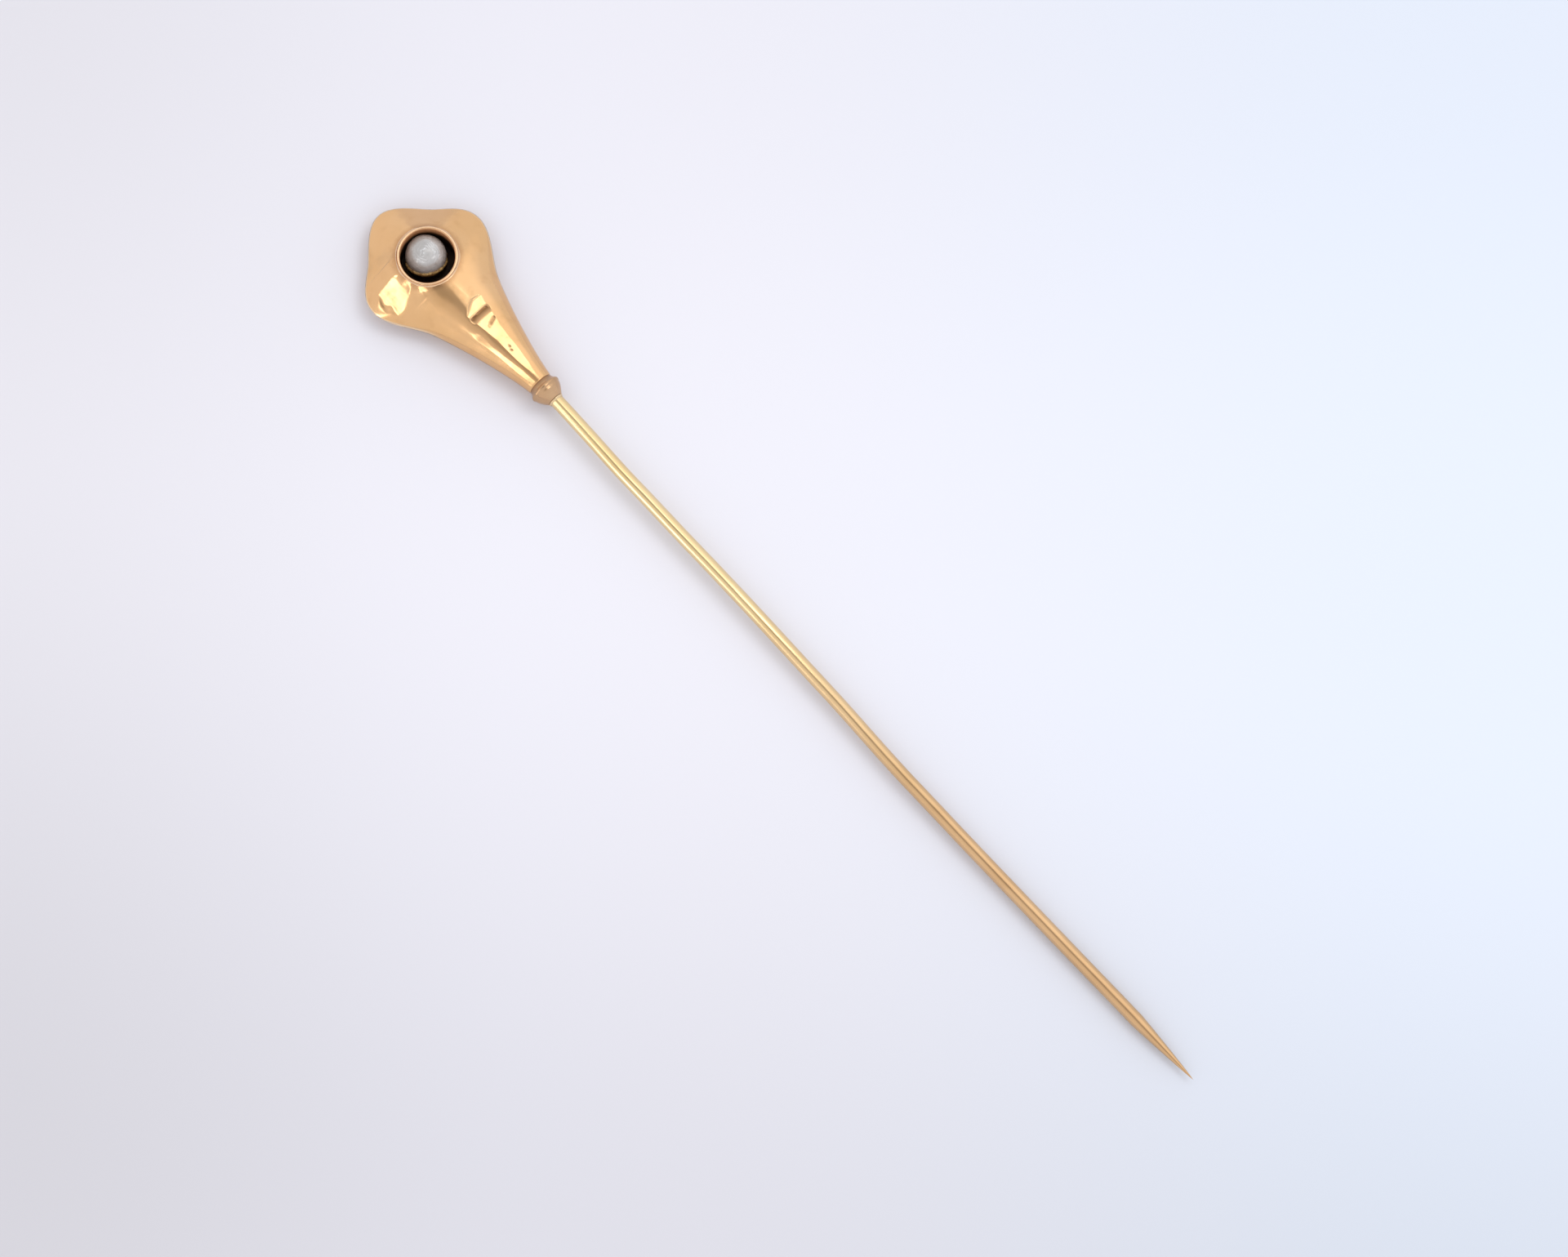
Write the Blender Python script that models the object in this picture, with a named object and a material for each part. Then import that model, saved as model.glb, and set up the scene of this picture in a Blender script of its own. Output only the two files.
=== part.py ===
"""A gold hat pin: a hollow hood-shaped head with a pearl in a raised collet, a turned collar and a pointed wire.

The pin lies on its back. +Z is up out of the head's front, and +X runs from the head to the point of the wire.
The origin is on the head's flat back, on its middle line, where the head is widest. Every size below is in
millimetres, and the meshes are made in metres.
"""

import math

import bmesh
import bpy
import numpy as np
from mathutils import Matrix, Vector

MM = 0.001
FIT_GAP = 0.02  # between two pieces that are soldered, cemented or pushed together

# Heights over the surface that the pin lies on.
AXIS_Z = 1.05  # the wire's axis, and the plane where the two half shells meet
RIM_Z = 2.78  # the top of the collet

# Plan of the head: half of its outline, from the apex to the end of the neck. Each knot holds
# (x, half width, direction in degrees, handle length before it, handle length after it).
OUTLINE_KNOTS = (
    (-4.20, 0.00, 90.0, 0.00, 1.08),  # apex
    (-2.25, 2.64, 49.5, 0.85, 1.00),  # middle of the slightly hollow edge beside the apex
    (0.00, 4.235, 0.0, 1.08, 1.00),  # side corner, where the head is widest
    (3.00, 2.80, -30.1, 1.20, 1.10),  # hollow side that runs out into the neck
    (9.88, 0.81, -5.8, 1.55, 0.00),  # end of the neck
)
OUTLINE_STEPS = (7, 7, 8, 11)
ACROSS_STEPS = 10  # from the middle line to one edge

# Heights of the front shell over the seam plane.
FLANK_TOP = 1.50  # at the foot of the collet
CREST_KNOTS = ((1.8, 1.50), (3.3, 1.34), (5.0, 1.18), (7.5, 1.00), (9.88, 0.81))
NECK_RISE = (-1.5, 1.8)  # the neck grows out of the head's cone along this stretch
NECK_BLEND = 0.16  # softness of the hollow where the neck leaves the cone
NECK_ROUND = (0.5, 9.0)  # along this stretch the neck's soft ridge turns into a full half circle
CROWN_SOFTNESS = 0.18

# Back shell.
BACK_TO_NECK = (1.8, 4.6)  # the dished back turns into the round neck along this stretch
BACK_SLOPE = 2.3  # how soon the dished edge reaches the flat back
BACK_CREST = 1.22
VENT_RADIUS, VENT_X = 0.25, 4.3  # air hole for soldering the hollow head

# Sheet thickness as seen in the seam plane, where the flanks of the head are cut at a slant.
INSET_HEAD, INSET_NECK = 0.45, 0.25
LIFT = 0.28  # the same thickness measured straight down from the crest

# Collet, its floor and the pearl.
COLLET_CENTRE = (0.0, 0.15)  # set by hand, a little to one side
COLLET_RADIUS, COLLET_WALL = 1.825, 0.19
COLLET_RIM_ROUND = 0.07
COLLET_FOOT_Z = 0.33
FLOOR_THICKNESS = 0.20
PEARL_CENTRE = (-0.35, 0.30, 1.70)  # the pearl sits a little towards the apex
PEARL_RADII = (1.24, 1.22, 1.10)
PEARL_TURN = 47.0  # degrees from +X to the pearl's longest axis
PEG_RADIUS, PEG_TOP_Z, PEG_CHAMFER = 0.25, 1.50, 0.05
CEMENT_RADIUS = 0.95

# Collar: profile of the turned piece as (x, radius).
NECK_END, NECK_END_RADIUS = OUTLINE_KNOTS[-1][:2]
COLLAR_START = NECK_END + FIT_GAP
COLLAR_RADIUS = 1.00
COLLAR_RIDGE = (10.24, 10.38)
COLLAR_NOSE = (11.18, 0.49)
FLARE_STEPS = (0.0, 0.35, 0.65, 0.88)  # shares of the flare's length
SPIGOT_START, SPIGOT_RADIUS = 9.10, 0.53

# Wire.
WIRE_RADIUS = 0.425
WIRE_START, TAPER_START, TIP_X = 7.00, 61.2, 65.95
# The wire is not quite straight: it falls to the surface and wanders sideways, as (x, y, z).
WIRE_KNOTS = (
    (WIRE_START, 0.00, AXIS_Z),
    (11.4, 0.00, AXIS_Z),
    (14.1, -0.06, 1.02),
    (17.5, -0.15, 0.98),
    (26.5, -0.20, 0.87),
    (35.4, -0.35, 0.76),
    (42.0, -0.55, 0.68),
    (52.0, -0.60, 0.56),
    (61.5, -0.58, 0.44),
    (TIP_X, -0.60, 0.38),
)
TAPER_POWER = 0.8  # under 1 the point is slightly full, like a hand-filed one


# Plan curves ---------------------------------------------------------------------------------------


def bezier(start, handle_1, handle_2, end, steps):
    """Points along one cubic Bezier, without its last point."""
    t = (np.arange(steps) / steps)[:, None]
    weights = ((1 - t) ** 3, 3 * (1 - t) ** 2 * t, 3 * (1 - t) * t**2, t**3)
    return sum(w * np.array(p) for w, p in zip(weights, (start, handle_1, handle_2, end)))


def half_outline():
    """The outline's half as an array of (x, half width), from the apex to the end of the neck."""
    runs = []
    for knot, following, steps in zip(OUTLINE_KNOTS, OUTLINE_KNOTS[1:], OUTLINE_STEPS):
        start, end = np.array(knot[:2]), np.array(following[:2])
        leaving, arriving = math.radians(knot[2]), math.radians(following[2])
        out = start + knot[4] * np.array((math.cos(leaving), math.sin(leaving)))
        back = end - following[3] * np.array((math.cos(arriving), math.sin(arriving)))
        runs.append(bezier(start, out, back, end, steps))
    return np.vstack(runs + [np.array([OUTLINE_KNOTS[-1][:2]])])


def inset_outline(outline):
    """The outline of a shell's inner face, drawn in from the outer one by the sheet's thickness."""
    apex, end = outline[0, 0], outline[-1, 0]
    along = (outline[:, 0] - apex) / (end - apex)
    inset = INSET_HEAD + (INSET_NECK - INSET_HEAD) * smooth_step(along, 0.3, 0.8)
    tangent = np.gradient(outline, axis=0)
    tangent[0] = (0.0, 1.0)
    tangent /= np.linalg.norm(tangent, axis=1)[:, None]
    inner = outline + inset[:, None] * np.column_stack((tangent[:, 1], -tangent[:, 0]))
    inner[-1] = (end, outline[-1, 1] - INSET_NECK)
    return inner


def smooth_step(value, start, end):
    t = np.clip((value - start) / (end - start), 0.0, 1.0)
    return t * t * (3 - 2 * t)


def monotone_curve(knots, x):
    """A smooth curve through knots of (x, value) that never swings past them."""
    at, value = np.array(knots).T
    secant = np.diff(value) / np.diff(at)
    slope = np.zeros(len(at))
    slope[0], slope[-1] = secant[0], secant[-1]
    for i in range(1, len(at) - 1):
        if secant[i - 1] * secant[i] > 0:
            slope[i] = 2 / (1 / secant[i - 1] + 1 / secant[i])
    i = np.clip(np.searchsorted(at, x) - 1, 0, len(at) - 2)
    width = at[i + 1] - at[i]
    t = np.clip((x - at[i]) / width, 0.0, 1.0)
    stay = (1 + 2 * t) * (1 - t) ** 2 * value[i] + t**2 * (3 - 2 * t) * value[i + 1]
    lean = t * (1 - t) ** 2 * slope[i] - t**2 * (1 - t) * slope[i + 1]
    return stay + lean * width


# Heights of the half shells ------------------------------------------------------------------------


def reach(outline, x, y):
    """How far the outline lies from the middle of the head, in the direction of the point (x, y)."""
    bearing = np.arctan2(outline[:, 1], outline[:, 0])[::-1]
    distance = np.hypot(outline[:, 0], outline[:, 1])[::-1]
    return np.interp(math.atan2(abs(y), x), bearing, distance)


def round_section(across, roundness):
    """Share of the crest's height at a share of the half width: a soft ridge at 0, a half circle at 1."""
    crown = CROWN_SOFTNESS * (1 - roundness)
    across = (math.hypot(across, crown) - crown) / (math.hypot(1, crown) - crown)
    inner_power = 1.5 + 0.5 * roundness
    outer_power = 1.15 + 0.85 * roundness
    return max(0.0, 1 - across**inner_power) ** (1 / outer_power)


def front_height(outline, x, y, half_width, drop):
    """Height of the front shell over the seam plane. drop lowers it for the inner face."""
    edge = reach(outline, x, y)
    cone = (FLANK_TOP - drop) * (edge - math.hypot(x, y)) / (edge - COLLET_RADIUS)
    crest = monotone_curve(CREST_KNOTS, x) - drop
    neck = crest * round_section(y / half_width, smooth_step(x, *NECK_ROUND)) * smooth_step(x, *NECK_RISE)
    blend = NECK_BLEND * min(1.0, max(0.0, min(cone, neck) / 0.4))
    return max(0.0, (cone + neck + math.hypot(cone - neck, blend)) / 2)


def back_height(outline, x, y, half_width, drop):
    """Height of the back shell over the seam plane, which is negative. Its middle is a flat face."""
    depth = AXIS_Z - drop - FIT_GAP / 2
    edge = reach(outline, x, y)
    dish = depth * BACK_SLOPE * (1 - math.hypot(x, y) / edge)
    neck_share = smooth_step(x, BACK_TO_NECK[0], NECK_END)
    crest = BACK_CREST + (NECK_END_RADIUS - BACK_CREST) * neck_share - drop
    neck = crest * round_section(y / half_width, 1.0)
    share = smooth_step(x, *BACK_TO_NECK)
    return -min(depth, max(0.0, (1 - share) * dish + share * neck))


# Mesh helpers --------------------------------------------------------------------------------------


def add_object(name, bm, material, sharp_degrees=40.0):
    """Turns a bmesh in millimetres into an object in metres, with its faces pointing out."""
    bmesh.ops.recalc_face_normals(bm, faces=bm.faces)
    bmesh.ops.scale(bm, vec=(MM, MM, MM), verts=bm.verts)
    mesh = bpy.data.meshes.new(name)
    bm.to_mesh(mesh)
    bm.free()
    mesh.shade_smooth()
    mesh.set_sharp_from_angle(angle=math.radians(sharp_degrees))
    obj = bpy.data.objects.new(name, mesh)
    bpy.context.scene.collection.objects.link(obj)
    if material:
        mesh.materials.append(material)
    return obj


def turned(profile, segments, centre=(0.0, 0.0), along_x=False):
    """A closed ring or solid turned from (height, radius) points, about Z or about the wire's axis."""
    bm = bmesh.new()
    rings = []
    for height, radius in profile:
        ring = []
        for k in range(segments if radius > 0 else 1):
            angle = 2 * math.pi * k / segments
            side, other = radius * math.cos(angle), radius * math.sin(angle)
            place = (height, side, AXIS_Z + other) if along_x else (centre[0] + side, centre[1] + other, height)
            ring.append(bm.verts.new(place))
        rings.append(ring)
    joined = list(zip(rings, rings[1:]))
    if profile[0][1] > 0 and profile[-1][1] > 0:
        joined.append((rings[-1], rings[0]))
    for first, second in joined:
        for k in range(segments):
            corners = [first[k % len(first)], first[(k + 1) % len(first)]]
            corners += [second[(k + 1) % len(second)], second[k % len(second)]]
            bm.faces.new(list(dict.fromkeys(corners)))
    return bm


def arc(centre, radius, start_degrees, end_degrees, steps):
    """Points of an arc, in the (height, radius) plane of a turned profile."""
    angles = [math.radians(start_degrees + (end_degrees - start_degrees) * k / steps) for k in range(steps + 1)]
    return [(centre[0] + radius * math.cos(a), centre[1] + radius * math.sin(a)) for a in angles]


def cut(obj, cutter):
    """Takes the cutter's shape out of the object. The cutter stays as a hidden guide."""
    cutter.hide_render = True
    cutter.display_type = "WIRE"
    boolean = obj.modifiers.new("cut_" + cutter.name, "BOOLEAN")
    boolean.operation = "DIFFERENCE"
    boolean.solver = "EXACT"
    boolean.object = cutter


def cylinder_cutter(name, radius, low_z, high_z, centre, segments):
    """A plain upright cylinder used as a cutter."""
    profile = [(low_z, 0.0), (low_z, radius), (high_z, radius), (high_z, 0.0)]
    return add_object(name, turned(profile, segments, centre), None)


# The half shells -----------------------------------------------------------------------------------


def shell_face(bm, outline, stations, height, seam_z, drop):
    """One face of a half shell as rows of vertices across the head. The first row is the apex alone."""
    rows = [[bm.verts.new((outline[0, 0], 0.0, seam_z))]]
    across = [math.sin(math.pi / 2 * k / ACROSS_STEPS) for k in range(-ACROSS_STEPS, ACROSS_STEPS + 1)]
    for x, half_width in stations[1:]:
        row = []
        for share in across:
            y = half_width * share
            rise = 0.0 if abs(share) == 1 else height(outline, x, y, half_width, drop)
            row.append(bm.verts.new((x, y, seam_z + rise)))
        rows.append(row)
    return rows


def fill_rows(bm, rows):
    """Joins neighbouring rows of vertices with faces, fanning out from the apex."""
    for k in range(len(rows[1]) - 1):
        bm.faces.new((rows[0][0], rows[1][k], rows[1][k + 1]))
    for row, following in zip(rows[1:], rows[2:]):
        for k in range(len(row) - 1):
            bm.faces.new((row[k], following[k], following[k + 1], row[k + 1]))


def half_shell(name, height, seam_z, material):
    """A struck half of the head: an outer face, an inner face and the flat edge that joins them."""
    outline = half_outline()
    inner_outline = inset_outline(outline)
    bm = bmesh.new()
    outer = shell_face(bm, outline, outline, height, seam_z, 0.0)
    inner = shell_face(bm, inner_outline, inner_outline, height, seam_z, LIFT)
    fill_rows(bm, outer)
    fill_rows(bm, inner)
    for side in (0, -1):
        for (a, b), (c, d) in zip(zip(outer, outer[1:]), zip(inner, inner[1:])):
            bm.faces.new((a[side], b[side], d[side], c[side]))
    for k in range(len(outer[-1]) - 1):
        bm.faces.new((outer[-1][k], outer[-1][k + 1], inner[-1][k + 1], inner[-1][k]))
    return add_object(name, bm, material)


def make_front_shell(gold):
    shell = half_shell("front_shell", front_height, AXIS_Z + FIT_GAP / 2, gold)
    hole = cylinder_cutter("guide_collet_hole", COLLET_RADIUS + FIT_GAP, AXIS_Z, RIM_Z + 1, COLLET_CENTRE, 64)
    cut(shell, hole)


def make_back_shell(gold):
    shell = half_shell("back_shell", back_height, AXIS_Z - FIT_GAP / 2, gold)
    vent = cylinder_cutter("guide_vent_hole", VENT_RADIUS, -1, AXIS_Z, (VENT_X, 0), 20)
    cut(shell, vent)


# The setting ---------------------------------------------------------------------------------------


def make_collet(gold):
    """A tube that stands through the front shell, with a rounded rim."""
    outer, inner, soft = COLLET_RADIUS, COLLET_RADIUS - COLLET_WALL, COLLET_RIM_ROUND
    profile = [(COLLET_FOOT_Z, inner), (COLLET_FOOT_Z, outer)]
    profile += arc((RIM_Z - soft, outer - soft), soft, 90, 0, 3)
    profile += arc((RIM_Z - soft, inner + soft), soft, 0, -90, 3)
    add_object("collet", turned(profile, 64, COLLET_CENTRE), gold)


def make_setting_floor(gold):
    """The disc that closes the foot of the collet."""
    radius = COLLET_RADIUS - COLLET_WALL - FIT_GAP
    low, high = COLLET_FOOT_Z + FIT_GAP, COLLET_FOOT_Z + FIT_GAP + FLOOR_THICKNESS
    profile = [(low, 0.0), (low, radius), (high, radius), (high, 0.0)]
    add_object("setting_floor", turned(profile, 48, COLLET_CENTRE), gold)


def pearl_underside(radius):
    """Height of the pearl's lower surface at a distance from its upright axis."""
    share = min(1.0, radius / max(PEARL_RADII[:2]))
    return PEARL_CENTRE[2] - PEARL_RADII[2] * math.sqrt(1 - share * share)


def make_pearl_peg(gold):
    """The wire peg that the half-drilled pearl is pushed onto."""
    low = COLLET_FOOT_Z + FLOOR_THICKNESS + 2 * FIT_GAP
    profile = [(low, 0.0), (low, PEG_RADIUS), (PEG_TOP_Z - PEG_CHAMFER, PEG_RADIUS)]
    profile += [(PEG_TOP_Z, PEG_RADIUS - PEG_CHAMFER), (PEG_TOP_Z, 0.0)]
    add_object("pearl_peg", turned(profile, 16, PEARL_CENTRE[:2]), gold)


def make_pearl_cement(cement):
    """The collar of old cement that the pearl is bedded in."""
    low = COLLET_FOOT_Z + FLOOR_THICKNESS + 2 * FIT_GAP
    bore = PEG_RADIUS + FIT_GAP
    radii = [CEMENT_RADIUS + (bore - CEMENT_RADIUS) * k / 6 for k in range(7)]
    bed = [(pearl_underside(r) - 1.5 * FIT_GAP, r) for r in radii if pearl_underside(r) - 2 * FIT_GAP > low]
    profile = [(low, bed[-1][1]), (low, CEMENT_RADIUS)] + bed
    add_object("pearl_cement", turned(profile, 32, PEARL_CENTRE[:2]), cement)


def make_pearl(pearl):
    """A slightly uneven pearl, drilled half way up for its peg."""
    bm = bmesh.new()
    bmesh.ops.create_uvsphere(bm, u_segments=32, v_segments=20, radius=1.0)
    bmesh.ops.scale(bm, vec=PEARL_RADII, verts=bm.verts)
    turn = Matrix.Rotation(math.radians(PEARL_TURN), 3, "Z")
    bmesh.ops.rotate(bm, matrix=turn, verts=bm.verts)
    bmesh.ops.translate(bm, vec=PEARL_CENTRE, verts=bm.verts)
    obj = add_object("pearl", bm, pearl)
    top = PEG_TOP_Z + FIT_GAP
    cut(obj, cylinder_cutter("guide_pearl_drilling", PEG_RADIUS + FIT_GAP, 0, top, PEARL_CENTRE[:2], 16))


# Collar and wire -----------------------------------------------------------------------------------


def make_collar(gold):
    """The turned collar: a hollow flare up to a ridge, a straight cone to the nose, and a spigot in the neck."""
    bore = WIRE_RADIUS + FIT_GAP
    low = NECK_END_RADIUS
    length, rise = COLLAR_RIDGE[0] - COLLAR_START, COLLAR_RADIUS - low
    flare = [(COLLAR_START + length * t, low + rise * t**2) for t in FLARE_STEPS]
    ridge_middle = sum(COLLAR_RIDGE) / 2
    ridge = [
        (COLLAR_RIDGE[0] + 0.02, COLLAR_RADIUS - 0.015),
        (ridge_middle, COLLAR_RADIUS),
        (COLLAR_RIDGE[1], COLLAR_RADIUS - 0.02),
    ]
    nose = [(COLLAR_NOSE[0] - 0.04, COLLAR_NOSE[1] + 0.02), (COLLAR_NOSE[0], bore)]
    spigot = [(SPIGOT_START, bore), (SPIGOT_START, SPIGOT_RADIUS), (COLLAR_START, SPIGOT_RADIUS)]
    profile = spigot + flare + ridge + nose
    add_object("collar", turned(profile, 40, along_x=True), gold)


def make_solder_bead(solder):
    """The small ring of solder that fills the corner between the collar's nose and the wire."""
    start, bore = COLLAR_NOSE[0] + FIT_GAP, WIRE_RADIUS + FIT_GAP
    profile = [(start, bore), (start, bore + 0.05)]
    profile += arc((start + 0.06, bore), 0.06, 100, 0, 4)
    add_object("solder_bead", turned(profile, 24, along_x=True), solder)


def wire_point(x):
    """A point on the wire's middle line."""
    sideways = monotone_curve([(k[0], k[1]) for k in WIRE_KNOTS], x)
    height = monotone_curve([(k[0], k[2]) for k in WIRE_KNOTS], x)
    return Vector((x, float(sideways), float(height)))


def wire_radius(x):
    """The wire's radius: constant, then drawn in to the point."""
    if x <= TAPER_START:
        return WIRE_RADIUS
    return WIRE_RADIUS * ((TIP_X - x) / (TIP_X - TAPER_START)) ** TAPER_POWER


def make_wire(gold):
    """The pin's own wire, from inside the neck to the sharp point."""
    segments = 20
    even_steps = 29
    taper_shares = (0.15, 0.32, 0.5, 0.67, 0.8, 0.9, 0.96)
    stations = [WIRE_START + (TAPER_START - WIRE_START) * k / even_steps for k in range(even_steps + 1)]
    stations += [TAPER_START + (TIP_X - TAPER_START) * share for share in taper_shares]
    bm = bmesh.new()
    rings = []
    for x in stations:
        middle = wire_point(x)
        forward = (wire_point(x + 0.05) - wire_point(x - 0.05)).normalized()
        side = forward.cross(Vector((0, 0, 1))).normalized()
        up = side.cross(forward)
        angles = [2 * math.pi * k / segments for k in range(segments)]
        ring = [middle + wire_radius(x) * (side * math.cos(a) + up * math.sin(a)) for a in angles]
        rings.append([bm.verts.new(place) for place in ring])
    for first, second in zip(rings, rings[1:]):
        for k in range(segments):
            following = (k + 1) % segments
            bm.faces.new((first[k], first[following], second[following], second[k]))
    bm.faces.new(rings[0])
    point = bm.verts.new(wire_point(TIP_X))
    for k in range(segments):
        bm.faces.new((rings[-1][k], rings[-1][(k + 1) % segments], point))
    add_object("wire", bm, gold)


# Materials and assembly ----------------------------------------------------------------------------


def material(name, colour, roughness, metallic):
    mat = bpy.data.materials.new(name)
    mat.use_nodes = True
    shader = mat.node_tree.nodes["Principled BSDF"]
    shader.inputs["Base Color"].default_value = (*colour, 1.0)
    shader.inputs["Roughness"].default_value = roughness
    shader.inputs["Metallic"].default_value = metallic
    return mat


def main():
    for obj in list(bpy.data.objects):
        bpy.data.objects.remove(obj)
    head_gold = material("head_gold", (0.83, 0.56, 0.28), 0.28, 1.0)
    wire_gold = material("wire_gold", (0.86, 0.66, 0.33), 0.24, 1.0)
    collar_gold = material("collar_gold", (0.72, 0.45, 0.24), 0.30, 1.0)
    solder = material("gold_solder", (0.88, 0.72, 0.46), 0.25, 1.0)
    pearl = material("pearl_nacre", (0.78, 0.77, 0.75), 0.22, 0.0)
    cement = material("old_cement", (0.30, 0.19, 0.08), 0.70, 0.0)
    make_front_shell(head_gold)
    make_back_shell(head_gold)
    make_collet(head_gold)
    make_setting_floor(head_gold)
    make_pearl_peg(head_gold)
    make_pearl_cement(cement)
    make_pearl(pearl)
    make_collar(collar_gold)
    make_solder_bead(solder)
    make_wire(wire_gold)


main()
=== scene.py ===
"""Looks of the gold hat pin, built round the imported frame: fine meshes, materials, soft light and the camera.

Shapes are worked out in millimetres, in the frame's own axes, and the meshes are made in metres.
"""

import math

import bmesh
import bpy
import numpy as np
from mathutils import Matrix, Vector


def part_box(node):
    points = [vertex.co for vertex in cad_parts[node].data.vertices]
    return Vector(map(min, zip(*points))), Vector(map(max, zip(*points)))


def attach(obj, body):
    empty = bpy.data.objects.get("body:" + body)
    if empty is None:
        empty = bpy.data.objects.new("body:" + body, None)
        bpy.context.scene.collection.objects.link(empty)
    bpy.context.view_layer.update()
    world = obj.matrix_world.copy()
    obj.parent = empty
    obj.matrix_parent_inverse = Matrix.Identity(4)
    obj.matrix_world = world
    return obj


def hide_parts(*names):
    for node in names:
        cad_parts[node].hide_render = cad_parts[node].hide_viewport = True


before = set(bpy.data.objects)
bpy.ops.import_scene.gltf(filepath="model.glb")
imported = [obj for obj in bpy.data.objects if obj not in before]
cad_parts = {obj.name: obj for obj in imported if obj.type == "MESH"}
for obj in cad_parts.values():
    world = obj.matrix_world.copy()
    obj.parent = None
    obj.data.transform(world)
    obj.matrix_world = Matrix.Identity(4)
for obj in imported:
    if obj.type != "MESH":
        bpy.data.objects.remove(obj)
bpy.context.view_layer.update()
MM = 0.001
ROOT = "root"


# Sizes, in millimetres -----------------------------------------------------------------------------


def box_mm(node):
    """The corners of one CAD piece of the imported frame, in millimetres."""
    low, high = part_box(node)
    return np.array(low) / MM, np.array(high) / MM


SHELL_LOW, SHELL_HIGH = box_mm("front_shell")
BACK_HIGH = box_mm("back_shell")[1]
COLLET_LOW, COLLET_HIGH = box_mm("collet")
PEG_LOW, PEG_HIGH = box_mm("pearl_peg")
PEARL_LOW, PEARL_HIGH = box_mm("pearl")
COLLAR_LOW, COLLAR_HIGH = box_mm("collar")
BEAD_LOW, BEAD_HIGH = box_mm("solder_bead")
WIRE_HIGH = box_mm("wire")[1]

APEX_X, NECK_END = SHELL_LOW[0], SHELL_HIGH[0]
HALF_WIDTH = SHELL_HIGH[1]
SEAM_Z = (SHELL_LOW[2] + BACK_HIGH[2]) / 2
HALF_GAP = SHELL_LOW[2] - SEAM_Z
RIM_Z = COLLET_HIGH[2]
COLLET_CENTRE = (COLLET_LOW[:2] + COLLET_HIGH[:2]) / 2
COLLET_RADIUS = (COLLET_HIGH[0] - COLLET_LOW[0]) / 2
PEARL_CENTRE = (PEARL_LOW + PEARL_HIGH) / 2
PEARL_CENTRE[:2] = ((PEG_LOW + PEG_HIGH) / 2)[:2]
PEG_RADIUS = (PEG_HIGH[0] - PEG_LOW[0]) / 2
TIP_X = WIRE_HIGH[0]

# Four sizes that the boxes don't give. Each shell's edge stays SEAM_OFFSET from the seam's plane.
COLLET_WALL, WIRE_RADIUS = 0.19, 0.425
SEAM_OFFSET, SHEET_THICKNESS = 0.002, 0.28
WELL_RADIUS = COLLET_RADIUS - COLLET_WALL

# The same design curves as the CAD model: (x, half width, degrees, handle before, handle after).
NECK_RADIUS = 0.81
OUTLINE_KNOTS = (
    (APEX_X, 0.00, 90.0, 0.00, 1.08),
    (-2.25, 2.64, 49.5, 0.85, 1.00),
    (0.00, HALF_WIDTH, 0.0, 1.08, 1.00),
    (3.00, 2.80, -30.1, 1.20, 1.10),
    (NECK_END, NECK_RADIUS, -5.8, 1.55, 0.00),
)
FLANK_TOP = 1.50
CREST_KNOTS = ((1.8, 1.50), (3.3, 1.34), (5.0, 1.18), (7.5, 1.00), (NECK_END, NECK_RADIUS))
HEAD_TO_NECK = (1.8, 4.6)
NECK_RISE, NECK_BLEND, CROWN_SOFTNESS = (-1.5, 1.8), 0.16, 0.18
NECK_ROUND = (0.5, 9.0)
BACK_SLOPE, BACK_CREST = 2.3, 1.22
VENT_X, VENT_RADIUS = 4.3, 0.25
EDGE_ROLL, EDGE_ROLL_RADIUS, EDGE_ROLL_END = 0.05, 0.11, (3.0, 7.0)
WIRE_KNOTS = (
    (7.0, 0.00, 1.05),
    (11.4, 0.00, 1.05),
    (14.1, -0.06, 1.02),
    (17.5, -0.15, 0.98),
    (26.5, -0.20, 0.87),
    (35.4, -0.35, 0.76),
    (42.0, -0.55, 0.68),
    (52.0, -0.60, 0.56),
    (61.5, -0.58, 0.44),
    (TIP_X, -0.60, 0.38),
)
TAPER_START, TAPER_POWER = 61.2, 0.8


# Curves and noise ----------------------------------------------------------------------------------


def smooth_step(value, start, end):
    t = np.clip((value - start) / (end - start), 0.0, 1.0)
    return t * t * t * (t * (6 * t - 15) + 10)


def smooth_curve(knots, x, column=1):
    """A smooth curve through knots that never swings past them, read at x."""
    at, value = np.array([k[0] for k in knots]), np.array([k[column] for k in knots])
    secant = np.diff(value) / np.diff(at)
    slope = np.concatenate(([secant[0]], np.zeros(len(at) - 2), [secant[-1]]))
    for i in range(1, len(at) - 1):
        if secant[i - 1] * secant[i] > 0:
            slope[i] = 2 / (1 / secant[i - 1] + 1 / secant[i])
    x = np.asarray(x, float)
    i = np.clip(np.searchsorted(at, x) - 1, 0, len(at) - 2)
    width = at[i + 1] - at[i]
    t = np.clip((x - at[i]) / width, 0.0, 1.0)
    stay = (1 + 2 * t) * (1 - t) ** 2 * value[i] + t**2 * (3 - 2 * t) * value[i + 1]
    lean = t * (1 - t) ** 2 * slope[i] - t**2 * (1 - t) * slope[i + 1]
    return stay + lean * width


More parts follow.
